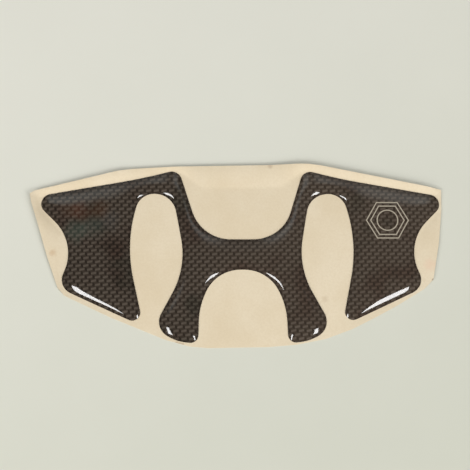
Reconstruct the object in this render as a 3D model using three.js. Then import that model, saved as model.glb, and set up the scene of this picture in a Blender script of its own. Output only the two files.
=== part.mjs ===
// Domed stick-on pad that covers a motorcycle's top yoke, lying on its paper backing sheet.
// Millimetres, +Z up. The origin is under the middle of the sheet, on the surface it lies on.
// Three layers lie on each other: the sheet, the printed film and the clear resin on top of it.
import * as THREE from 'three';

// Layers
const PAPER_THICKNESS = 0.15;
const FILM_THICKNESS = 0.2;
const RESIN_HEIGHT = 1.6;

// Rounded shoulder of the resin: how far in it goes on rising, and how fast it levels off
const SHOULDER_WIDTH = 3.2;
const SHOULDER_LENGTH = 1.84;
const SHOULDER_RINGS = 6;

// Bridge across the middle, between the two horns
const BRIDGE_TOP_WIDTH = 42;
const BRIDGE_TOP_RADIUS = 20.8;
const BRIDGE_HEIGHT = 16;

// Horns, where the bridge turns up into the wings
const HORN_FLARE = 11.8;
const HORN_RISE = 37.5;
const HORN_RADIUS = 5.3;

// Long top edge of a wing, bowed slightly inwards between horn and tip
const TOP_EDGE_LENGTH = 76.4;
const TOP_EDGE_DROP = 15.2;
const TOP_BOW_FROM_HORN = 18;
const TOP_BOW_DEPTH = 1.2;
const TOP_BOW_RADIUS = 290;
const TIP_RADIUS = 5.3;

// Round notch in the end of a wing, which clears a fork tube
const FORK_NOTCH_RADIUS = 24.4;
const FORK_NOTCH_DEPTH = 24.3;
const FORK_NOTCH_DROP = 24.7;
const WING_HEEL_OUT = 10.1;
const WING_HEEL_DROP = 22.5;
const WING_HEEL_RADIUS = 7.9;

// Slanting lower edge of a wing
const WING_TOE_IN = 44.1;
const WING_TOE_DROP = 20.7;
const WING_TOE_RADIUS = 4.1;

// Long slot between a wing and a leg, open at the bottom
const NECK_WIDTH = 7.3;
const SLOT_TOP_WIDTH = 16.8;
const SLOT_BELOW_HORN = 14.6;
const SLOT_TOP_SLANT = 2.9;
const SLOT_INNER_RADIUS = 11.5;
const SLOT_OUTER_RADIUS = 10;
const SLOT_WIDTH = 31.4;
const SLOT_OUTER_BOW_RADIUS = 79;
const SLOT_OUTER_BOW_DROP = 1.7;

// Legs that run down either side of the arch
const LEG_NECK_WIDTH = 15.5;
const LEG_NECK_DROP = 14.6;
const LEG_NECK_RADIUS = 44;
const LEG_HEEL_OUT = 17.2;
const LEG_HEEL_DROP = 32.1;
const LEG_HEEL_RADIUS = 8.7;
const FOOT_WIDTH = 22.9;
const FOOT_BEND_IN = 12.4;
const FOOT_BEND_DROP = 6.5;
const FOOT_BEND_RADIUS = 20.8;
const LEG_TOE_DROP = 1.4;
const LEG_TOE_RADIUS = 4.1;

// Arch between the legs, under the bridge
const ARCH_TOP_WIDTH = 26.6;
const ARCH_TOP_RADIUS = 20.1;
const ARCH_SIDE_IN = 0.7;
const ARCH_SIDE_RISE = 19.7;
const ARCH_SIDE_RADIUS = 40;

// Backing sheet: its edge curls up by this much along the top, less along the sides, and not at all at the bottom
const SHEET_LIFT = 2.6;
const CURL_WIDTH = 5;
const CURL_CLEARANCE = 0.4;
const CURL_STEPS = 4;

// Round outlines: how far a facet may lie from its arc, and the share of an edge that stays straight between
// two roundings, or between two corners that move inwards
const ARC_TOLERANCE = 0.04;
const SMALLEST_RADIUS = 0.4;
const STRAIGHT_SHARE = 0.02;
const KEPT_SHARE = 0.3;

const corner = (x, y, radius) => ({ x, y, radius });

// Corners of the half outline on the right, before rounding, from the bridge round to the arch
function halfCorners() {
  const bridge = corner(BRIDGE_TOP_WIDTH / 2, 0, BRIDGE_TOP_RADIUS);
  const horn = corner(bridge.x + HORN_FLARE, HORN_RISE, HORN_RADIUS);
  const tip = corner(horn.x + TOP_EDGE_LENGTH, horn.y - TOP_EDGE_DROP, TIP_RADIUS);
  const bowShare = TOP_BOW_FROM_HORN / TOP_EDGE_LENGTH;
  const bowY = horn.y - TOP_EDGE_DROP * bowShare - TOP_BOW_DEPTH;
  const topBow = corner(horn.x + TOP_BOW_FROM_HORN, bowY, TOP_BOW_RADIUS);
  const notch = corner(tip.x - FORK_NOTCH_DEPTH, tip.y - FORK_NOTCH_DROP, FORK_NOTCH_RADIUS);
  const wingHeel = corner(notch.x + WING_HEEL_OUT, notch.y - WING_HEEL_DROP, WING_HEEL_RADIUS);
  const wingToe = corner(wingHeel.x - WING_TOE_IN, wingHeel.y - WING_TOE_DROP, WING_TOE_RADIUS);

  const archTop = corner(ARCH_TOP_WIDTH / 2, -BRIDGE_HEIGHT, ARCH_TOP_RADIUS);
  const slotTopY = horn.y - SLOT_BELOW_HORN;
  const hornEdgeX = bridge.x + HORN_FLARE * slotTopY / HORN_RISE;
  const slotInner = corner(hornEdgeX + NECK_WIDTH, slotTopY, SLOT_INNER_RADIUS);
  const slotOuter = corner(slotInner.x + SLOT_TOP_WIDTH, slotTopY + SLOT_TOP_SLANT, SLOT_OUTER_RADIUS);
  const legNeck = corner(archTop.x + LEG_NECK_WIDTH, -LEG_NECK_DROP, LEG_NECK_RADIUS);
  const slotBow = corner(legNeck.x + SLOT_WIDTH, -SLOT_OUTER_BOW_DROP, SLOT_OUTER_BOW_RADIUS);
  const legHeel = corner(legNeck.x + LEG_HEEL_OUT, legNeck.y - LEG_HEEL_DROP, LEG_HEEL_RADIUS);
  const footBend = corner(legHeel.x - FOOT_BEND_IN, legHeel.y - FOOT_BEND_DROP, FOOT_BEND_RADIUS);
  const legToe = corner(legHeel.x - FOOT_WIDTH, footBend.y - LEG_TOE_DROP, LEG_TOE_RADIUS);
  const archSide = corner(legToe.x - ARCH_SIDE_IN, legToe.y + ARCH_SIDE_RISE, ARCH_SIDE_RADIUS);

  return {
    bridge, horn, topBow, tip, notch, wingHeel, wingToe, slotBow,
    slotOuter, slotInner, legNeck, legHeel, footBend, legToe, archSide, archTop,
  };
}

const half = halfCorners();
const mirrored = (point) => ({ ...point, x: -point.x });

// The whole outline runs anticlockwise seen from above: up the left half, then back along the right half
function padCorners() {
  const right = Object.values(half);
  const left = right.map(mirrored);
  return [...right.reverse(), ...left];
}

const LEFT = -1;
const RIGHT = 1;

// Straight-cut corners of the sheet, clockwise from its left end. Each stands off a corner of the pad,
// by so much outwards from the middle line and so much upwards.
const SHEET_CORNERS = [
  { from: 'tip', side: LEFT, out: 0.5, up: 1.9 },
  { from: 'tip', side: LEFT, out: -2, up: 3.5 },
  { from: 'horn', side: LEFT, out: 31.4, up: -1 },
  { from: 'horn', side: LEFT, out: 23.7, up: 0.1 },
  { from: 'horn', side: LEFT, out: 1.9, up: 1.4 },
  { from: 'horn', side: RIGHT, out: -17.8, up: 2.3 },
  { from: 'horn', side: RIGHT, out: -2, up: 3 },
  { from: 'horn', side: RIGHT, out: 2.7, up: 2.9 },
  { from: 'horn', side: RIGHT, out: 9, up: 2.1 },
  { from: 'tip', side: RIGHT, out: -11.7, up: 6 },
  { from: 'tip', side: RIGHT, out: -4.1, up: 4.4 },
  { from: 'tip', side: RIGHT, out: -4.5, up: -7 },
  { from: 'tip', side: RIGHT, out: -6.6, up: -24.3 },
  { from: 'wingHeel', side: RIGHT, out: 3.9, up: 3.5 },
  { from: 'wingHeel', side: RIGHT, out: -1.1, up: -1.5 },
  { from: 'wingHeel', side: RIGHT, out: -15.2, up: -10 },
  { from: 'wingToe', side: RIGHT, out: 17.9, up: 4.8 },
  { from: 'wingToe', side: RIGHT, out: 5.3, up: -1.5 },
  { from: 'legHeel', side: RIGHT, out: -3.7, up: -5.5 },
  { from: 'legToe', side: RIGHT, out: 4.3, up: -0.5 },
  { from: 'legToe', side: RIGHT, out: -10.6, up: -1.7 },
  { from: 'legToe', side: LEFT, out: -5, up: -2.1 },
  { from: 'legToe', side: LEFT, out: 4.1, up: -1.3 },
  { from: 'legHeel', side: LEFT, out: -6.6, up: -5.8 },
  { from: 'wingToe', side: LEFT, out: 16.9, up: 4.9 },
  { from: 'wingHeel', side: LEFT, out: -3.8, up: -4.5 },
  { from: 'wingHeel', side: LEFT, out: -0.4, up: -0.6 },
  { from: 'wingHeel', side: LEFT, out: 5.2, up: 15.6 },
  { from: 'tip', side: LEFT, out: -3.6, up: -13.1 },
  { from: 'tip', side: LEFT, out: -0.3, up: -2.5 },
];

function sheetCorners() {
  const clockwise = SHEET_CORNERS.map(({ from, side, out, up }) => {
    return new THREE.Vector2(side * (half[from].x + out), half[from].y + up);
  });
  return clockwise.reverse();
}

// Unit vector that points inwards from the edge a-b of an anticlockwise outline
const inwardNormal = (a, b) => new THREE.Vector2(a.y - b.y, b.x - a.x).normalize();

// Moves every edge of an anticlockwise outline inwards by the same distance
function insetCorners(corners, distance) {
  return corners.map((point, i) => {
    const before = corners.at(i - 1);
    const after = corners[(i + 1) % corners.length];
    const first = inwardNormal(before, point);
    const second = inwardNormal(point, after);
    const shift = first.clone().add(second).multiplyScalar(distance / (1 + first.dot(second)));
    return { ...point, x: point.x + shift.x, y: point.y + shift.y };
  });
}

// Turn of the outline at a corner: positive where the outline is convex
function turnAt(before, point, after) {
  const cameFrom = Math.atan2(point.y - before.y, point.x - before.x);
  const goesTo = Math.atan2(after.y - point.y, after.x - point.x);
  return Math.atan2(Math.sin(goesTo - cameFrom), Math.cos(goesTo - cameFrom));
}

// Gives each corner its turn and the largest radius that fits beside its neighbours' roundings
function fittedCorners(corners) {
  const measured = corners.map((point, i) => {
    const turn = turnAt(corners.at(i - 1), point, corners[(i + 1) % corners.length]);
    return { ...point, turn, reach: point.radius * Math.tan(Math.abs(turn) / 2) };
  });
  return measured.map((point, i) => {
    const shares = [measured.at(i - 1), measured[(i + 1) % measured.length]].map((neighbour) => {
      const edge = Math.hypot(neighbour.x - point.x, neighbour.y - point.y);
      return Math.min(1, edge * (1 - STRAIGHT_SHARE) / (point.reach + neighbour.reach));
    });
    return { ...point, fitted: point.radius * Math.min(...shares) };
  });
}

// Outline of the pad, moved inwards by a distance, with every corner rounded by an arc of facets
function padOutline(inset) {
  const base = fittedCorners(padCorners());
  const moved = insetCorners(base, inset);
  return moved.flatMap((point, i) => {
    const after = moved[(i + 1) % moved.length];
    const before = moved.at(i - 1);
    const side = Math.sign(point.turn);
    const radius = Math.max(point.fitted - side * inset, SMALLEST_RADIUS);
    const along = new THREE.Vector2(point.x - before.x, point.y - before.y).normalize();
    const reach = radius * Math.tan(Math.abs(point.turn) / 2);
    const start = new THREE.Vector2(point.x, point.y).addScaledVector(along, -reach);
    const centre = start.clone().addScaledVector(inwardNormal(before, point), side * radius);
    const steps = Math.ceil(Math.abs(point.turn) * Math.sqrt(point.radius / (8 * ARC_TOLERANCE)));
    const arc = [];
    for (let step = 0; step <= steps; step += 1) {
      arc.push(start.clone().rotateAround(centre, point.turn * step / steps));
    }
    return arc;
  });
}

// Closed solid through a stack of rings that all have the same number of points,
// anticlockwise from the lowest ring up, with a flat face across the first and the last
function ringSolid(rings) {
  const count = rings[0].length;
  const positions = rings.flat().flatMap((point) => [point.x, point.y, point.z]);
  const triangles = [];
  const flat = (ring) => ring.map((point) => new THREE.Vector2(point.x, point.y));
  for (const [a, b, c] of THREE.ShapeUtils.triangulateShape(flat(rings[0]), [])) {
    triangles.push(a, c, b);
  }
  for (let level = 1; level < rings.length; level += 1) {
    const below = (level - 1) * count;
    const above = level * count;
    for (let i = 0; i < count; i += 1) {
      const next = (i + 1) % count;
      triangles.push(below + i, below + next, above + next);
      triangles.push(below + i, above + next, above + i);
    }
  }
  const top = (rings.length - 1) * count;
  for (const [a, b, c] of THREE.ShapeUtils.triangulateShape(flat(rings.at(-1)), [])) {
    triangles.push(top + a, top + b, top + c);
  }
  const geometry = new THREE.BufferGeometry();
  geometry.setAttribute('position', new THREE.Float32BufferAttribute(positions, 3));
  geometry.setIndex(triangles);
  geometry.computeVertexNormals();
  return geometry;
}

const atHeight = (ring, z) => ring.map((point) => new THREE.Vector3(point.x, point.y, z));

// Printed film: the pad's outline, straight up
function filmGeometry() {
  const outline = padOutline(0);
  return ringSolid([
    atHeight(outline, PAPER_THICKNESS),
    atHeight(outline, PAPER_THICKNESS + FILM_THICKNESS),
  ]);
}

// Height of the resin above the film, so far in from its edge
function resinHeight(inset) {
  const risen = 1 - Math.exp(-inset / SHOULDER_LENGTH);
  return RESIN_HEIGHT * risen / (1 - Math.exp(-SHOULDER_WIDTH / SHOULDER_LENGTH));
}

// Clear resin: flat below, its edge drawn in to a rounded shoulder by surface tension
function resinGeometry() {
  const base = PAPER_THICKNESS + FILM_THICKNESS;
  const rings = [];
  for (let ring = 0; ring <= SHOULDER_RINGS; ring += 1) {
    const inset = SHOULDER_WIDTH * (ring / SHOULDER_RINGS) ** 1.5;
    rings.push(atHeight(padOutline(inset), base + resinHeight(inset)));
  }
  return ringSolid(rings);
}

const segment = (a, b) => new THREE.Line3(new THREE.Vector3(a.x, a.y, 0), new THREE.Vector3(b.x, b.y, 0));

// Distance in plan from a point to a segment
function distanceTo(line, point) {
  const target = new THREE.Vector3(point.x, point.y, 0);
  return line.closestPointToPoint(target, true, new THREE.Vector3()).distanceTo(target);
}

// How far inwards each edge of the sheet can curl: clear of the pad, and short of where the edge would vanish
function edgeRooms(corners) {
  const outline = padOutline(0);
  const padEdges = outline.map((point, i) => segment(point, outline[(i + 1) % outline.length]));
  return corners.map((start, i) => {
    const [before, end, after] = [i - 1, i + 1, i + 2].map((k) => corners.at(k % corners.length));
    const edge = segment(start, end);
    const toPad = Math.min(
      ...outline.map((point) => distanceTo(edge, point)),
      ...padEdges.map((line) => distanceTo(line, start)),
    );
    const closing = Math.tan(turnAt(before, start, end) / 2) + Math.tan(turnAt(start, end, after) / 2);
    const vanishes = closing > 0 ? edge.distance() / closing : Infinity;
    return Math.min(CURL_WIDTH, Math.max(toPad - CURL_CLEARANCE, SMALLEST_RADIUS), vanishes * (1 - KEPT_SHARE));
  });
}

// Backing sheet: flat under the pad, its free margin curling up except along the bottom
function sheetGeometry() {
  const corners = sheetCorners();
  const inner = insetCorners(corners, CURL_WIDTH);
  const rooms = edgeRooms(corners);
  const margin = corners.map((point, i) => {
    const inwards = new THREE.Vector2(inner[i].x - point.x, inner[i].y - point.y);
    const room = Math.min(rooms.at(i - 1), rooms[i]) / CURL_WIDTH;
    const share = Math.min(1, 1 - inwards.clone().normalize().y);
    return { point, inwards, room, lift: SHEET_LIFT * share * room };
  });
  const curledRing = (fromEdge, z) => margin.map(({ point, inwards, room, lift }) => {
    const place = point.clone().addScaledVector(inwards, room * fromEdge);
    return new THREE.Vector3(place.x, place.y, z + lift * (1 - fromEdge) ** 2);
  });
  const rings = [];
  for (let step = CURL_STEPS; step >= 0; step -= 1) {
    rings.push(curledRing(step / CURL_STEPS, 0));
  }
  for (let step = 0; step <= CURL_STEPS; step += 1) {
    rings.push(curledRing(step / CURL_STEPS, PAPER_THICKNESS));
  }
  return ringSolid(rings);
}

function mesh(name, geometry, material) {
  const result = new THREE.Mesh(geometry, new THREE.MeshStandardMaterial(material));
  result.name = name;
  return result;
}

const sheet = sheetGeometry();
sheet.computeBoundingBox();
const middle = sheet.boundingBox.getCenter(new THREE.Vector3());

const protector = new THREE.Group();
protector.add(mesh('release_liner', sheet, { color: '#e0d2b7', roughness: 0.8, metalness: 0 }));
protector.add(mesh('carbon_film', filmGeometry(), { color: '#403930', roughness: 0.5, metalness: 0.1 }));
protector.add(mesh('resin_dome', resinGeometry(), {
  color: '#dcdcd4', roughness: 0.05, metalness: 0, transparent: true, opacity: 0.3,
}));
protector.position.set(-middle.x, -middle.y, 0);

export default protector;
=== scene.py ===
# Domed stick-on pad for a motorcycle's top yoke, lying on its backing paper.
# Lengths are in millimetres while a shape is worked out, and in metres on the finished pieces. +Z is up.
import math

import bmesh
import bpy
import numpy as np
from mathutils import Matrix, Vector
from mathutils.geometry import delaunay_2d_cdt


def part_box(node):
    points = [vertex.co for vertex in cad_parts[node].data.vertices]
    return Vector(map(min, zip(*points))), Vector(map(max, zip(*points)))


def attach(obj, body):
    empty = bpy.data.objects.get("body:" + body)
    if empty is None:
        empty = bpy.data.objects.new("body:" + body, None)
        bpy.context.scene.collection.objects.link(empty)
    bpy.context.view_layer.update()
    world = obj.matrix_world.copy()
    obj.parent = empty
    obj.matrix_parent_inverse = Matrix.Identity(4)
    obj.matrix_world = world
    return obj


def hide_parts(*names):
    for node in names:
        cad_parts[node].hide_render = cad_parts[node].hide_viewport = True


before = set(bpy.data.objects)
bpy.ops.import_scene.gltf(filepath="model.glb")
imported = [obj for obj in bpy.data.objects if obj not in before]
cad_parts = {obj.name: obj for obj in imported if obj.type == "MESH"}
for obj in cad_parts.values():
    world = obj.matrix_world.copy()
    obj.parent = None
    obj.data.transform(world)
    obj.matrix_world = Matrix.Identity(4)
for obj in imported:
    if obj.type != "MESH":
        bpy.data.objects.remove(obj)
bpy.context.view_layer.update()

MM = 0.001

# Layers, from the solids
PAPER_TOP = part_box("carbon_film")[0].z / MM
FILM_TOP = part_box("carbon_film")[1].z / MM
RESIN_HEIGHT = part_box("resin_dome")[1].z / MM - FILM_TOP

# Resin: its capillary length, its set-back from the film's edge, and how far its underside sinks into the film
CAPILLARY_LENGTH = 3.0
RESIN_MARGIN = 0.05
RESIN_SINK = 0.05

# Points of the resin's mesh: rings at these distances from its rim, spacing along it, and spacing inside them
RESIN_RINGS = [0, 0.06, 0.14, 0.25, 0.4, 0.58, 0.8, 1.05, 1.35]
OUTLINE_SPACING = 0.5
INNER_SPACING = 0.72

# Solving for the resin's height: rounds for the slope of its skin, most steps in a round, and when a round ends
SLOPE_ROUNDS = 7
SOLVER_STEPS = 400
SOLVER_END = 1e-12

# Share of its spacing that a grid keeps clear of the loop it fills
GRID_CLEARANCE = 0.6

# Film: the narrow band along its cut edge, and the points of its flat mesh
CUT_BAND = 0.35
FILM_SPACING = 10 * INNER_SPACING
FILM_CLEARANCE = 2 * INNER_SPACING

# Paper: spacing of its points, and its curled margins, with how their lift is evened out along the edge
PAPER_SPACING = 1.2
CURL_WIDTH = 12.0
CURL_CLEARANCE = 0.4
LEAST_CURL = 0.4
CURL_POWER = 1.5
RIM_SMOOTHINGS = 3

# Waves in the loose paper: their height, and how they grow away from the pad and from the edge
PAPER_WAVE = 0.07
WAVE_REACH = 12
WAVE_ONSET = 0.12
WAVE_FROM_EDGE = 3

# Reading the solids: points closer than this are one, in metres and in millimetres, and a face that leans
# further down than this belongs to the underside
MERGE_METRES = 1e-6
SAME_PLACE = 0.01
UNDERSIDE_NORMAL = -0.2

# Triangulation: keep only what lies inside the loop, and how close points may lie
INSIDE_ONLY = 1
TRIANGLE_TOLERANCE = 1e-6

# Loop points that are measured against at once, which keeps the tables small
LOOP_SHARE = 64

# Place of the cut edge's material on the film
CUT_EDGE_SLOT = 1


def outline_corners(node):
    """Corners of a solid's outline seen from above, anticlockwise, in millimetres"""
    shape = bmesh.new()
    shape.from_mesh(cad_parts[node].data)
    bmesh.ops.remove_doubles(shape, verts=shape.verts, dist=MERGE_METRES)
    shape.normal_update()
    looks_down = {face.index: face.normal.z < UNDERSIDE_NORMAL for face in shape.faces}
    following = {}
    for face in shape.faces:
        if not looks_down[face.index]:
            continue
        for loop in face.loops:
            if any(not looks_down[other.index] for other in loop.edge.link_faces):
                following[loop.link_loop_next.vert] = loop.vert
    start = next(iter(following))
    corners = [start]
    while following[corners[-1]] is not start:
        corners.append(following[corners[-1]])
    points = np.array([corner.co[:2] for corner in corners]) / MM
    shape.free()
    return points


def unit(vectors):
    return vectors / np.linalg.norm(vectors, axis=-1, keepdims=True)


def smooth_loop(corners, spacing):
    """Evenly spaced points on a smooth closed curve through the corners"""
    after = np.roll(corners, -1, 0)
    tangents = unit(after - np.roll(corners, 1, 0))
    points = []
    for a, b, at_a, at_b in zip(corners, after, tangents, np.roll(tangents, -1, 0)):
        length = np.linalg.norm(b - a)
        steps = max(1, round(length / spacing))
        t = np.arange(steps)[:, None] / steps
        points.append(
            (2 * t**3 - 3 * t**2 + 1) * a
            + (t**3 - 2 * t**2 + t) * length * at_a
            + (3 * t**2 - 2 * t**3) * b
            + (t**3 - t**2) * length * at_b
        )
    return np.vstack(points)


def moved_inwards(loop, distance):
    """An anticlockwise loop, with each point moved square to the loop"""
    tangents = unit(np.roll(loop, -1, 0) - np.roll(loop, 1, 0))
    inwards = np.stack([-tangents[:, 1], tangents[:, 0]], 1)
    return loop + distance * inwards


def inside(points, loop):
    """Which points lie inside a closed loop"""
    result = np.zeros(len(points), bool)
    for a, b in zip(loop, np.roll(loop, -1, 0)):
        crosses = (a[1] > points[:, 1]) != (b[1] > points[:, 1])
        if a[1] != b[1]:
            at = a[0] + (points[:, 1] - a[1]) * (b[0] - a[0]) / (b[1] - a[1])
            result ^= crosses & (points[:, 0] < at)
    return result


def distance_to(points, loop):
    """Distance from each point to the nearest point of a finely spaced loop"""
    nearest = np.full(len(points), np.inf)
    for start in range(0, len(loop), LOOP_SHARE):
        gaps = points[:, None] - loop[None, start : start + LOOP_SHARE]
        nearest = np.minimum(nearest, np.sqrt((gaps**2).sum(2).min(1)))
    return nearest


def honeycomb(loop, spacing, clearance):
    """Points of a triangular grid that lie inside a loop, clear of it"""
    low, high = loop.min(0), loop.max(0)
    rows = np.arange(low[1], high[1], spacing * math.sqrt(0.75))
    columns = np.arange(low[0], high[0], spacing)
    grid = [
        np.stack([columns + spacing / 2 * (i % 2), np.full(len(columns), y)], 1)
        for i, y in enumerate(rows)
    ]
    grid = np.vstack(grid)
    grid = grid[inside(grid, loop)]
    return grid[distance_to(grid, loop) > clearance]


def filled(loop, inner):
    """Triangles across a loop that also use the points inside it, numbered loop first"""
    count = len(loop)
    points = [Vector(point) for point in np.vstack([loop, inner])]
    edges = [(i, (i + 1) % count) for i in range(count)]
    _, _, faces, sources, _, _ = delaunay_2d_cdt(points, edges, [], INSIDE_ONLY, TRIANGLE_TOLERANCE)
    triangles = np.array([[sources[i][0] for i in face] for face in faces])
    a, b, c = (np.array(points)[triangles[:, k]] for k in range(3))
    turned = np.cross(b - a, c - a) < 0
    triangles[turned] = triangles[turned][:, ::-1]
    return triangles


def ring_triangles(count, rings):
    """Triangles between rings of the same number of points, from the outermost inwards"""
    i = np.arange(count)
    after = (i + 1) % count
    bands = []
    for ring in range(rings - 1):
        outer, inner = ring * count, (ring + 1) * count
        bands.append(np.stack([outer + i, outer + after, inner + after], 1))
        bands.append(np.stack([outer + i, inner + after, inner + i], 1))
    return np.vstack(bands)


def ringed_area(loop, distances, spacing, clearance):
    """Points and triangles over a loop's area: rings along its edge, then an even grid"""
    rings = [moved_inwards(loop, distance) for distance in distances]
    inner = honeycomb(rings[-1], spacing, clearance)
    points = np.vstack(rings + [inner])
    first_inner = (len(rings) - 1) * len(loop)
    triangles = np.vstack([
        ring_triangles(len(loop), len(rings)),
        filled(rings[-1], inner) + first_inner,
    ])
    return points, triangles


def settled_height(points, triangles, rim_count, full_height):
    """Height of resin on the film, pinned at its rim, where its weight balances its skin's pull

    Finite elements over the triangles, by conjugate gradients, with the skin's slope renewed in each round.
    """
    a, b, c = (points[triangles[:, k]] for k in range(3))
    opposite = np.stack([c - b, a - c, b - a], 1)
    area = np.cross(b - a, c - a) / 2
    mass = np.bincount(triangles.ravel(), np.repeat(area / 3, 3), len(points))
    first, second = triangles[:, [1, 2, 0]], triangles[:, [2, 0, 1]]
    pull = -(opposite[:, [1, 2, 0]] * opposite[:, [2, 0, 1]]).sum(2) / (4 * area[:, None])
    free = np.arange(len(points)) >= rim_count
    height = np.where(free, full_height, 0.0)
    slack = np.ones(len(triangles))
    for _ in range(SLOPE_ROUNDS):
        weight = CAPILLARY_LENGTH**2 * pull * slack[:, None]

        def apply(values):
            flow = weight * (values[first] - values[second])
            total = mass * values
            total += np.bincount(first.ravel(), flow.ravel(), len(points))
            total -= np.bincount(second.ravel(), flow.ravel(), len(points))
            return total * free

        diagonal = mass.copy()
        diagonal += np.bincount(first.ravel(), weight.ravel(), len(points))
        diagonal += np.bincount(second.ravel(), weight.ravel(), len(points))
        rest = mass * full_height * free - apply(height)
        step = rest / diagonal
        heading = step
        score = rest @ step
        for _ in range(SOLVER_STEPS):
            pushed = apply(heading)
            share = score / (heading @ pushed)
            height = height + share * heading
            rest = rest - share * pushed
            step = rest / diagonal
            before, score = score, rest @ step
            if score < SOLVER_END:
                break
            heading = step + score / before * heading
        slope = (height[triangles][:, :, None] * opposite).sum(1) / (2 * area[:, None])
        slack = 1 / np.sqrt(1 + (slope**2).sum(1))
    return height


def new_piece(name, points, faces, material_of_face=None, sharp_edges=()):
    """A smooth-shaded piece from points in millimetres, riding on the one body"""
    mesh = bpy.data.meshes.new(name)
    mesh.from_pydata((np.asarray(points, float) * MM).tolist(), [], np.asarray(faces).tolist())
    mesh.polygons.foreach_set("use_smooth", np.ones(len(mesh.polygons), bool))
    if material_of_face is not None:
        mesh.polygons.foreach_set("material_index", material_of_face)
    if len(sharp_edges):
        sharp = {tuple(sorted(pair)) for pair in sharp_edges}
        marks = [tuple(sorted(edge.vertices)) in sharp for edge in mesh.edges]
        mesh.attributes.new("sharp_edge", "BOOLEAN", "EDGE").data.foreach_set("value", marks)
    mesh.update()
    piece = bpy.data.objects.new(name, mesh)
    bpy.context.scene.collection.objects.link(piece)
    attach(piece, "root")
    return piece


def loop_edges(first, count):
    return [(first + i, first + (i + 1) % count) for i in range(count)]


def closed_slab(name, points, triangles, rim_count, top, bottom, material_of_face=None):
    """Closed piece between two heights over the same triangles, with a sharp rim"""
    count = len(points)
    upper = np.column_stack([points, np.broadcast_to(top, count)])
    lower = np.column_stack([points, np.broadcast_to(bottom, count)])
    i = np.arange(rim_count)
    after = (i + 1) % rim_count
    wall = np.vstack([
        np.stack([i + count, after + count, after], 1),
        np.stack([i + count, after, i], 1),
    ])
    faces = np.vstack([triangles, triangles[:, ::-1] + count, wall])
    sharp = loop_edges(0, rim_count) + loop_edges(count, rim_count)
    marks = None
    if material_of_face is not None:
        marks = np.concatenate([material_of_face, material_of_face, np.full(len(wall), CUT_EDGE_SLOT)])
    return new_piece(name, np.vstack([upper, lower]), faces, marks, sharp)


# ---- materials

def put(tree, socket, value):
    """Link another node's socket, or set the value on the socket itself"""
    if isinstance(value, bpy.types.NodeSocket):
        tree.links.new(value, socket)
    else:
        socket.default_value = value


def add_node(tree, kind, inputs=(), **settings):
    node = tree.nodes.new(kind)
    for key, value in settings.items():
        setattr(node, key, value)
    for key, value in dict(inputs).items():
        put(tree, node.inputs[key], value)
    return node


def maths(tree, operation, *values):
    return add_node(tree, "ShaderNodeMath", enumerate(values), operation=operation).outputs[0]


def vector_maths(tree, operation, *values):
    """Vector, or the plain value of a dot product or a length"""
    node = add_node(tree, "ShaderNodeVectorMath", enumerate(values), operation=operation)
    return node.outputs["Value" if operation in ("DOT_PRODUCT", "LENGTH") else "Vector"]


def blended(tree, share, low, high, blend_type="MIX"):
    """Colour between two colours, which are sockets 6 and 7 of the node"""
    return add_node(
        tree, "ShaderNodeMix", {0: share, 6: low, 7: high}, data_type="RGBA", blend_type=blend_type
    ).outputs[2]


def ramp(tree, value, low, high, to_low=0.0, to_high=1.0):
    """Smooth step of a value from one range to another"""
    return add_node(
        tree,
        "ShaderNodeMapRange",
        {0: value, 1: low, 2: high, 3: to_low, 4: to_high},
        interpolation_type="SMOOTHSTEP",
    ).outputs[0]


def tone(red, green, blue):
    """Colour from sRGB values of 0 to 255"""
    def linear(value):
        value /= 255
        return value / 12.92 if value <= 0.04045 else ((value + 0.055) / 1.055) ** 2.4
    return (linear(red), linear(green), linear(blue), 1)


def new_group(name, inputs, outputs):
    group = bpy.data.node_groups.new(name, "ShaderNodeTree")
    for label, kind in inputs.items():
        group.interface.new_socket(name=label, in_out="INPUT", socket_type=kind)
    for label, kind in outputs.items():
        group.interface.new_socket(name=label, in_out="OUTPUT", socket_type=kind)
    return group, group.nodes.new("NodeGroupInput"), group.nodes.new("NodeGroupOutput")


def placed_group(tree, group, values):
    return add_node(tree, "ShaderNodeGroup", values, node_tree=group).outputs[0]


def millimetres(tree):
    """Place on the piece, in millimetres"""
    place = tree.nodes.new("ShaderNodeTexCoord").outputs["Object"]
    return add_node(tree, "ShaderNodeVectorMath", {0: place, "Scale": 1 / MM}, operation="SCALE").outputs[0]


def level_distance(tree, place):
    """Distance from the origin, seen from above"""
    return vector_maths(tree, "LENGTH", vector_maths(tree, "MULTIPLY", place, (1.0, 1.0, 0.0)))


def new_material(name):
    material = bpy.data.materials.new(name)
    material.use_nodes = True
    tree = material.node_tree
    shader = tree.nodes["Principled BSDF"]
    return material, tree, shader


def set_finish(shader, values):
    for label, value in values.items():
        shader.inputs[label].default_value = value


# Clouds: share of their finer detail, and their middle value
MOTTLING_ROUGHNESS = 0.55
MOTTLING_MIDDLE = 0.5


def mottling_group():
    """Soft cloudy variation about 0.5, with an even share of coarse and fine clouds"""
    group, given, result = new_group(
        "mottling",
        {"Place": "NodeSocketVector", "Cloud size": "NodeSocketFloat", "Detail": "NodeSocketFloat"},
        {"Value": "NodeSocketFloat"},
    )
    noise = add_node(
        group,
        "ShaderNodeTexNoise",
        {
            "Vector": given.outputs["Place"],
            "Scale": maths(group, "DIVIDE", 1.0, given.outputs["Cloud size"]),
            "Detail": given.outputs["Detail"],
            "Roughness": MOTTLING_ROUGHNESS,
        },
    )
    group.links.new(noise.outputs[0], result.inputs["Value"])
    return group


# Values between which clouds, grain and fibres go from one tone to the other
CLOUD_REACH = (0.3, 0.7)

# Carbon weave: width of a tow; half length, half height and lean of the light dash that each raised tow makes;
# half length and half height of the dark gap between two dashes of a row
TOW = 2.0
DASH_HALF_LENGTH = 1.62
DASH_HALF_HEIGHT = 0.55
DASH_LEAN = 0.19
GAP_HALF_LENGTH = 0.62
GAP_HALF_HEIGHT = 1.0

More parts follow.
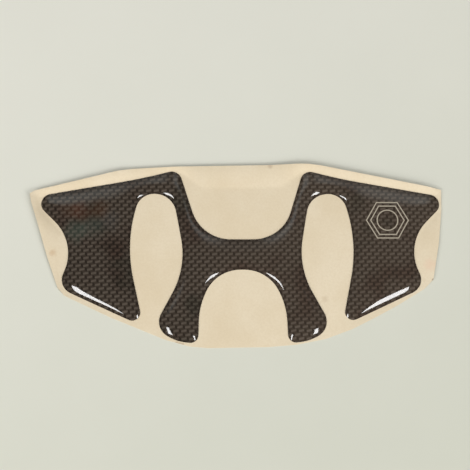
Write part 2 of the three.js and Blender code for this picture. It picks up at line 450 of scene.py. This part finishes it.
# How square a dash or gap is at its ends and along its sides, and where it has faded out
END_POWER = 5.0
SIDE_POWER = 2.5
FADED_OUT = 2.1

# Fibres: how fine they are along and across the tow, and how far they dim and brighten a dash
FIBRE_STRETCH = (0.5, 7.0, 1.0)
FIBRE_SHADE = (0.62, 1.12)


def weave_group():
    """Plain weave print: light dashes of the crossing tows in staggered rows, with dark gaps between"""
    group, given, result = new_group(
        "carbon_weave",
        {
            "Place": "NodeSocketVector",
            "Light tow": "NodeSocketColor",
            "Dark tow": "NodeSocketColor",
            "Gap": "NodeSocketColor",
        },
        {"Color": "NodeSocketColor"},
    )
    split = add_node(group, "ShaderNodeSeparateXYZ", {0: given.outputs["Place"]})
    x, y = split.outputs[0], split.outputs[1]
    row = maths(group, "ROUND", maths(group, "DIVIDE", y, TOW))
    odd = maths(group, "FLOORED_MODULO", row, 2.0)
    along = maths(group, "MULTIPLY_ADD", odd, TOW, x)
    along = maths(group, "FLOORED_MODULO", maths(group, "ADD", along, TOW), 2 * TOW)
    along = maths(group, "SUBTRACT", along, TOW)
    across = maths(group, "SUBTRACT", y, maths(group, "MULTIPLY", row, TOW))
    across = maths(group, "MULTIPLY_ADD", along, -DASH_LEAN, across)

    def block(place_along, half_length, half_height):
        ends = maths(group, "ABSOLUTE", maths(group, "DIVIDE", place_along, half_length))
        sides = maths(group, "ABSOLUTE", maths(group, "DIVIDE", across, half_height))
        ends = maths(group, "POWER", ends, END_POWER)
        sides = maths(group, "POWER", sides, SIDE_POWER)
        return ramp(group, maths(group, "ADD", ends, sides), 0.0, FADED_OUT, 1.0, 0.0)

    dash = block(along, DASH_HALF_LENGTH, DASH_HALF_HEIGHT)
    to_gap = maths(group, "SUBTRACT", TOW, maths(group, "ABSOLUTE", along))
    gap = block(to_gap, GAP_HALF_LENGTH, GAP_HALF_HEIGHT)
    stretched = vector_maths(group, "MULTIPLY", given.outputs["Place"], FIBRE_STRETCH)
    fibres = add_node(
        group, "ShaderNodeTexNoise", {"Vector": stretched, "Scale": 1.0, "Detail": 2.0, "Roughness": 0.6}
    ).outputs[0]
    dash = maths(group, "MULTIPLY", dash, ramp(group, fibres, *CLOUD_REACH, *FIBRE_SHADE))
    color = blended(group, dash, given.outputs["Dark tow"], given.outputs["Light tow"])
    color = blended(group, gap, color, given.outputs["Gap"])
    group.links.new(color, result.inputs["Color"])
    return group


# Share of its radius where a soft patch starts to fade and where it ends
SPOT_FADE = (0.2, 1.2)


def spot_group():
    """Soft round patch with an uneven edge"""
    group, given, result = new_group(
        "soft_spot",
        {
            "Place": "NodeSocketVector",
            "Centre": "NodeSocketVector",
            "Radius": "NodeSocketFloat",
            "Depth": "NodeSocketFloat",
            "Unevenness": "NodeSocketFloat",
        },
        {"Mask": "NodeSocketFloat"},
    )
    away = vector_maths(group, "SUBTRACT", given.outputs["Place"], given.outputs["Centre"])
    reach = maths(group, "DIVIDE", level_distance(group, away), given.outputs["Radius"])
    reach = maths(group, "ADD", reach, maths(group, "SUBTRACT", given.outputs["Unevenness"], MOTTLING_MIDDLE))
    mask = maths(group, "MULTIPLY", ramp(group, reach, *SPOT_FADE, 1.0, 0.0), given.outputs["Depth"])
    group.links.new(mask, result.inputs["Mask"])
    return group


def clouds(tree, effects, place, size, detail=2.0):
    return placed_group(tree, effects["mottling"], {"Place": place, "Cloud size": size, "Detail": detail})


def spotted(tree, effects, place, color, marks, unevenness_size):
    """Colour with soft patches over it, each with its place, radius, colour and depth"""
    uneven = clouds(tree, effects, place, unevenness_size)
    for centre, radius, tint, depth in marks:
        values = {"Place": place, "Centre": (*centre, 0.0), "Radius": radius, "Depth": depth, "Unevenness": uneven}
        color = blended(tree, placed_group(tree, effects["soft_spot"], values), color, tint)
    return color


# Nut outline printed on the right wing
NUT_PLACE = (78.2, 18.0)
NUT_ACROSS_FLATS = 19.0
NUT_RIM = 1.9
NUT_BORE = 5.4
NUT_LINE = 0.27
NUT_LINE_FADE = (0.6 * NUT_LINE, 1.4 * NUT_LINE)
NUT_TONE = tone(176, 166, 148)


def nut_lines(tree, place):
    """Mask of a hexagon nut drawn in thin lines: outer hexagon, inner hexagon and bore"""
    from_middle = vector_maths(tree, "ADD", place, (-NUT_PLACE[0], -NUT_PLACE[1], 0.0))
    hexagon = 0.0
    for degrees in (90, 150, 210):
        turn = math.radians(degrees)
        reach = vector_maths(tree, "DOT_PRODUCT", from_middle, (math.cos(turn), math.sin(turn), 0.0))
        hexagon = maths(tree, "MAXIMUM", hexagon, maths(tree, "ABSOLUTE", reach))
    lines = 0.0
    for reach, size in (
        (hexagon, NUT_ACROSS_FLATS / 2),
        (hexagon, NUT_ACROSS_FLATS / 2 - NUT_RIM),
        (level_distance(tree, from_middle), NUT_BORE),
    ):
        off = maths(tree, "ABSOLUTE", maths(tree, "SUBTRACT", reach, size))
        lines = maths(tree, "MAXIMUM", lines, ramp(tree, off, *NUT_LINE_FADE, 1.0, 0.0))
    return lines


# Tones of the weave, as it shows in the print and along the cut edge
PRINT_TONES = {"Light tow": tone(86, 77, 68), "Dark tow": tone(54, 46, 38), "Gap": tone(38, 31, 24)}
EDGE_TONES = {"Light tow": tone(56, 42, 30), "Dark tow": tone(34, 24, 14), "Gap": tone(26, 18, 10)}

# Faint clouds of colour in the print: shift, size, where they start and end, depth and colour
FILM_CLOUDS = [
    ((0.0, 0.0, 0.0), 26.0, (0.5, 0.72), 0.55, tone(112, 62, 40)),
    ((57.0, 31.0, 9.0), 19.0, (0.52, 0.75), 0.5, tone(70, 96, 84)),
]

# Painted sheen: the print made paler towards the right, standing in for brighter reflection on that side: from
# where to where, depth and colour
PAINTED_SHEEN_REACH = (-80.0, 60.0)
PAINTED_SHEEN_DEPTH = 0.055
PAINTED_SHEEN_TONE = tone(146, 126, 108)

# Patches of painted reflection on the left wing, reddish and greenish, where the resin mirrors the room: place,
# radius, colour and depth of each
PAINTED_REFLECTION_PATCHES = [
    ((-87.5, 23.5), 6.0, tone(104, 64, 42), 0.14),
    ((-80.5, 22.0), 6.5, tone(114, 62, 40), 0.15),
    ((-72.0, 24.0), 6.5, tone(106, 66, 40), 0.17),
    ((-84.0, 12.5), 7.0, tone(76, 92, 82), 0.24),
    ((-75.0, 14.5), 7.0, tone(78, 90, 82), 0.2),
    ((-66.0, 18.0), 6.0, tone(76, 80, 80), 0.16),
]
REFLECTION_PATCH_UNEVENNESS = 7.0

# Painted shade on the dome's steep rim: how upright its surface's normal is where the painted shade is darkest and
# where it ends, its depth and colour
SHADED_RIM_SLOPE = (0.84, 0.97)
RIM_SHADE_DEPTH = 0.55
RIM_SHADE_TONE = tone(30, 22, 15)

BARE_FILM = {"IOR": 1.5, "Roughness": 0.6, "Specular IOR Level": 0.2}
RESIN_GLOSS = {"IOR": 1.5, "Roughness": 0.02, "Specular IOR Level": 0.5}


def film_material(name, effects, tones, printed_nut, on_resin_with_rim_shade=False):
    """Printed carbon weave with faint clouds, painted reflection as patches on the left wing and as paler print to
    the right, bare or as it shows through the glossy resin, where painted shade darkens the resin's steep rim
    """
    material, tree, shader = new_material(name)
    place = millimetres(tree)
    color = placed_group(tree, effects["weave"], {"Place": place, **tones})
    for shift, size, reach, depth, tint in FILM_CLOUDS:
        cloud = clouds(tree, effects, vector_maths(tree, "ADD", place, shift), size)
        color = blended(tree, ramp(tree, cloud, *reach, 0.0, depth), color, tint, "SOFT_LIGHT")
    # Painted sheen: the print grows paler towards the right
    aside = add_node(tree, "ShaderNodeSeparateXYZ", {0: place}).outputs[0]
    color = blended(tree, ramp(tree, aside, *PAINTED_SHEEN_REACH, 0.0, PAINTED_SHEEN_DEPTH), color, PAINTED_SHEEN_TONE)
    # Painted reflection: reddish and greenish patches on the left wing
    color = spotted(tree, effects, place, color, PAINTED_REFLECTION_PATCHES, REFLECTION_PATCH_UNEVENNESS)
    if printed_nut:
        color = blended(tree, nut_lines(tree, place), color, NUT_TONE)
    if on_resin_with_rim_shade:
        # Painted shade: the print darkens where the resin's surface slopes steeply at its rim
        normal = tree.nodes.new("ShaderNodeNewGeometry").outputs["Normal"]
        upright = add_node(tree, "ShaderNodeSeparateXYZ", {0: normal}).outputs[2]
        color = blended(tree, ramp(tree, upright, *SHADED_RIM_SLOPE, RIM_SHADE_DEPTH, 0.0), color, RIM_SHADE_TONE)
    tree.links.new(color, shader.inputs["Base Color"])
    set_finish(shader, RESIN_GLOSS if on_resin_with_rim_shade else BARE_FILM)
    return material


# Paper: size and detail of its clouds, its two tones, and how rough its clouds make it
PAPER_CLOUDS = (34.0, 4.0)
PAPER_TONES = (tone(220, 204, 175), tone(227, 213, 187))
PAPER_ROUGHNESS = (0.62, 0.74)
PAPER_FINISH = {"Specular IOR Level": 0.3}

# Paper's grain: size and detail, tone, depth, and how it stands up
GRAIN = (1.1, 3.0)
GRAIN_TONE = tone(205, 186, 152)
GRAIN_DEPTH = 0.22
GRAIN_BUMP = {"Strength": 0.15, "Distance": 0.05 * MM}

# Stains on the paper, and a row of three dots of painted shadow under the lifted edge by the left leg: place,
# radius, colour and depth of each
PAPER_STAINS_AND_SHADOW = [
    ((17.5, 47.4), 1.6, tone(176, 150, 122), 0.5),
    ((-95.0, 1.0), 2.2, tone(196, 164, 124), 0.5),
    # Painted shadow: dark dots along the paper's edge by the left leg, where it lifts
    ((-31.6, -45.7), 1.0, tone(160, 134, 104), 0.45),
    ((-30.1, -46.2), 1.0, tone(160, 134, 104), 0.45),
    ((-28.6, -46.6), 1.0, tone(160, 134, 104), 0.45),
    ((101.0, -13.5), 0.9, tone(120, 92, 68), 0.6),
    ((44.6, -23.4), 2.2, tone(196, 176, 146), 0.4),
    ((99.8, -5.6), 4.0, tone(226, 196, 170), 0.5),
]
STAIN_AND_SHADOW_UNEVENNESS = 1.8


def paper_material(effects):
    """Cream release paper: cloudy, with fine fibres, a few stains and a row of painted shadow dots by the left leg
    """
    material, tree, shader = new_material("release_paper")
    place = millimetres(tree)
    cloud = clouds(tree, effects, place, *PAPER_CLOUDS)
    grain = clouds(tree, effects, place, *GRAIN)
    color = blended(tree, ramp(tree, cloud, *CLOUD_REACH), *PAPER_TONES)
    color = blended(tree, ramp(tree, grain, *CLOUD_REACH, 0.0, GRAIN_DEPTH), color, GRAIN_TONE)
    color = spotted(tree, effects, place, color, PAPER_STAINS_AND_SHADOW, STAIN_AND_SHADOW_UNEVENNESS)
    tree.links.new(color, shader.inputs["Base Color"])
    tree.links.new(ramp(tree, cloud, *CLOUD_REACH, *PAPER_ROUGHNESS), shader.inputs["Roughness"])
    set_finish(shader, PAPER_FINISH)
    bump = add_node(tree, "ShaderNodeBump", {"Height": grain, **GRAIN_BUMP})
    tree.links.new(bump.outputs[0], shader.inputs["Normal"])
    return material


# Table, with a painted falloff of light: which way its tone grows lighter, from where to where, its shaded and lit
# tones, the size and detail of its clouds, and how far they shift that change
TABLE_LIGHT_SLANT = (-0.35, 0.936, 0.0)
TABLE_LIGHT_REACH = (-190.0, 270.0)
TABLE_FALLOFF_TONES = (tone(200, 201, 187), tone(229, 228, 217))
TABLE_CLOUDS = (60.0, 3.0)
TABLE_FALLOFF_SHIFT = 60.0
TABLE_FINISH = {"Roughness": 0.9, "Specular IOR Level": 0.1}


def floor_material(effects):
    """Pale table top with a faint greenish tint, and painted light that makes it a little lighter to the back and
    left
    """
    material, tree, shader = new_material("pale_table")
    place = millimetres(tree)
    # Painted light: the table grows lighter towards the back and left
    light_falloff = vector_maths(tree, "DOT_PRODUCT", place, TABLE_LIGHT_SLANT)
    cloud = clouds(tree, effects, place, *TABLE_CLOUDS)
    light_falloff = maths(tree, "MULTIPLY_ADD", cloud, TABLE_FALLOFF_SHIFT, light_falloff)
    color = blended(tree, ramp(tree, light_falloff, *TABLE_LIGHT_REACH), *TABLE_FALLOFF_TONES)
    tree.links.new(color, shader.inputs["Base Color"])
    set_finish(shader, TABLE_FINISH)
    return material


# ---- pieces

def make_film(outline, materials):
    """Printed film with its cut edge, in place of the plain solid"""
    points, triangles = ringed_area(outline, [0, CUT_BAND], FILM_SPACING, FILM_CLEARANCE)
    in_band = np.arange(len(triangles)) < 2 * len(outline)
    slots = np.where(in_band, CUT_EDGE_SLOT, 0)
    film = closed_slab("printed_film", points, triangles, len(outline), FILM_TOP, PAPER_TOP, slots)
    for material in materials:
        film.data.materials.append(material)
    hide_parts("carbon_film")


def make_resin(outline, material):
    """Dome of resin that has settled over the film"""
    rim = moved_inwards(outline, RESIN_MARGIN)
    points, triangles = ringed_area(rim, RESIN_RINGS, INNER_SPACING, INNER_SPACING * GRID_CLEARANCE)
    height = settled_height(points, triangles, len(rim), RESIN_HEIGHT)
    resin = closed_slab(
        "clear_dome", points, triangles, len(rim), FILM_TOP + height, FILM_TOP - RESIN_SINK
    )
    resin.data.materials.append(material)
    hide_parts("resin_dome")


def rim_heights(node):
    """Corners of the paper's outline with the height of its top there, in millimetres"""
    corners = outline_corners(node)
    places = np.array([vertex.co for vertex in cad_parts[node].data.vertices]) / MM
    tops = [places[np.hypot(*(places[:, :2] - corner).T) < SAME_PLACE, 2].max() for corner in corners]
    return corners, np.array(tops)


def spread_along(values, steps):
    """Values at the corners of a loop, spread evenly over the steps of each side"""
    sides = zip(values, np.roll(values, -1, 0), steps)
    return np.concatenate([
        a + (b - a) * np.arange(count).reshape(-1, *[1] * np.ndim(a)) / count for a, b, count in sides
    ])


def paper_waves(x, y):
    """Soft waves of a sheet that doesn't lie quite flat, from -1 to 1"""
    return np.sin(x / 9.1 + 1.3 * np.sin(y / 13.7)) * np.sin(y / 7.3 + 0.8 * np.sin(x / 17.9))


def make_paper(pad_outline, material):
    """Backing paper whose free edges lift off the table"""
    corners, tops = rim_heights("release_liner")
    lengths = np.linalg.norm(np.roll(corners, -1, 0) - corners, axis=1)
    steps = np.maximum(1, np.round(lengths / PAPER_SPACING)).astype(int)
    edge = spread_along(corners, steps)
    rim_lift = spread_along(tops - PAPER_TOP, steps)
    for _ in range(RIM_SMOOTHINGS):
        rim_lift = (np.roll(rim_lift, 1) + 2 * rim_lift + np.roll(rim_lift, -1)) / 4
    room = np.clip(distance_to(edge, pad_outline) - CURL_CLEARANCE, LEAST_CURL, CURL_WIDTH)
    inner = honeycomb(edge, PAPER_SPACING, PAPER_SPACING * GRID_CLEARANCE)
    points = np.vstack([edge, inner])
    triangles = filled(edge, inner)
    gaps = np.linalg.norm(points[:, None] - edge[None], axis=2)
    nearest = gaps.argmin(1)
    from_edge = gaps[np.arange(len(points)), nearest]
    curl = 1 - np.clip(from_edge / room[nearest], 0, 1) ** CURL_POWER
    free = np.where(inside(points, pad_outline), 0, distance_to(points, pad_outline))
    loose = np.clip(free / WAVE_REACH - WAVE_ONSET, 0, 1) * np.clip(from_edge / WAVE_FROM_EDGE, 0, 1)
    lift = rim_lift[nearest] * curl + PAPER_WAVE * (1 + paper_waves(*points.T)) * loose
    paper = closed_slab("backing_paper", points, triangles, len(edge), lift + PAPER_TOP, lift)
    paper.data.materials.append(material)
    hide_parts("release_liner")


# Table: half its side, in metres
TABLE_HALF = 3.0


def make_floor(material):
    mesh = bpy.data.meshes.new("table")
    corners = [(x * TABLE_HALF, y * TABLE_HALF, 0) for x, y in ((-1, -1), (1, -1), (1, 1), (-1, 1))]
    mesh.from_pydata(corners, [], [(0, 1, 2, 3)])
    floor = bpy.data.objects.new("table", mesh)
    bpy.context.scene.collection.objects.link(floor)
    floor.data.materials.append(material)


# ---- camera and light

CAMERA_PLACE = (-40.895, -169.557, 744.394)
CAMERA_RIGHT = (0.998667, -0.012085, 0.050185)
CAMERA_BACK = (-0.05162, -0.234836, 0.970663)
FOCAL_PIXELS = 1480
PICTURE_PIXELS = 470
SENSOR_MM = 36


def make_camera():
    data = bpy.data.cameras.new("camera")
    data.sensor_width = SENSOR_MM
    data.lens = FOCAL_PIXELS / PICTURE_PIXELS * SENSOR_MM
    camera = bpy.data.objects.new("camera", data)
    bpy.context.scene.collection.objects.link(camera)
    right, back = Vector(CAMERA_RIGHT), Vector(CAMERA_BACK)
    up = back.cross(right)
    turn = Matrix((right, up, back)).transposed().to_4x4()
    camera.matrix_world = Matrix.Translation(Vector(CAMERA_PLACE) * MM) @ turn
    bpy.context.scene.camera = camera


# Lamps, this far from the pad in metres: which way each lies from the pad, its share of the view across and along,
# which way its long side runs, its brightness, and whether the resin mirrors it
LAMP_DISTANCE = 1.6
LAMPS = {
    "left_lamp": ((-0.30, -0.185), (0.10, 0.32), (0.1, 0.995), 20, True),
    "right_lamp": ((0.38, -0.19), (0.10, 0.25), (-0.29, 0.957), 20, True),
    "left_softbox": ((-0.68, -0.60), (0.42, 0.42), (0, 1), 10.2, False),
    "right_softbox": ((0.70, -0.56), (0.46, 0.46), (0, 1), 9.0, False),
}


def make_lamp(name, way, spread, long_side, brightness, mirrored):
    """Rectangular lamp that faces the pad"""
    data = bpy.data.lights.new(name, "AREA")
    data.shape = "RECTANGLE"
    data.size, data.size_y = (share * LAMP_DISTANCE for share in spread)
    data.energy = brightness * math.pi * data.size * data.size_y
    lamp = bpy.data.objects.new(name, data)
    bpy.context.scene.collection.objects.link(lamp)
    back = Vector((*way, math.sqrt(1 - way[0] ** 2 - way[1] ** 2)))
    right = Vector((*long_side, 0)).cross(back).normalized()
    turn = Matrix((right, back.cross(right), back)).transposed().to_4x4()
    lamp.matrix_world = Matrix.Translation(back * LAMP_DISTANCE) @ turn
    lamp.visible_glossy = mirrored


# Room: its dim light, the light of the window behind the pad, and the pale backdrop
ROOM_LIGHT = (0.15, 0.145, 0.14, 1)
WINDOW_LIGHT = (1.2, 1.27, 1.25, 1)
BACKDROP = tone(217, 218, 206)

# Window, by how far a direction leans back or aside: where its foot fades in, where it dims towards its head
# and how far, where its sides fade out, and the dimmer strip down its middle
WINDOW_FOOT = (0.27, 0.38)
WINDOW_HEAD = (0.48, 0.8)
HEAD_SHARE = 0.35
WINDOW_SIDES = (0.25, 0.42)
STRIP_ASIDE = 0.05
STRIP_REACH = (0.02, 0.18)
STRIP_SHARE = 0.12


def make_world():
    """Dim room with a bright window behind the pad, and a pale backdrop for the camera"""
    world = bpy.data.worlds.new("studio")
    bpy.context.scene.world = world
    world.use_nodes = True
    tree = world.node_tree
    way = add_node(tree, "ShaderNodeSeparateXYZ", {0: tree.nodes.new("ShaderNodeTexCoord").outputs["Generated"]})
    aside, back = way.outputs[0], way.outputs[1]
    from_strip = maths(tree, "ABSOLUTE", maths(tree, "SUBTRACT", aside, STRIP_ASIDE))
    window = ramp(tree, back, *WINDOW_FOOT)
    for share in (
        ramp(tree, maths(tree, "ABSOLUTE", aside), *WINDOW_SIDES, 1.0, 0.0),
        ramp(tree, back, *WINDOW_HEAD, 1.0, HEAD_SHARE),
        ramp(tree, from_strip, *STRIP_REACH, STRIP_SHARE, 1.0),
    ):
        window = maths(tree, "MULTIPLY", window, share)
    light = blended(tree, window, ROOM_LIGHT, WINDOW_LIGHT)
    path = tree.nodes.new("ShaderNodeLightPath")
    shown = blended(tree, path.outputs["Is Camera Ray"], light, BACKDROP)
    tree.links.new(shown, tree.nodes["Background"].inputs["Color"])


effects = {"mottling": mottling_group(), "weave": weave_group(), "soft_spot": spot_group()}
pad_outline = smooth_loop(outline_corners("carbon_film"), OUTLINE_SPACING)
make_film(pad_outline, [
    film_material("carbon_print", effects, PRINT_TONES, printed_nut=True),
    film_material("cut_edge", effects, EDGE_TONES, printed_nut=False),
])
make_resin(
    pad_outline, film_material("print_on_resin_with_rim_shade", effects, PRINT_TONES, printed_nut=True, on_resin_with_rim_shade=True)
)
make_paper(pad_outline, paper_material(effects))
make_floor(floor_material(effects))
make_camera()
for name, lamp in LAMPS.items():
    make_lamp(name, *lamp)
make_world()

bpy.context.scene.view_settings.view_transform = "Standard"
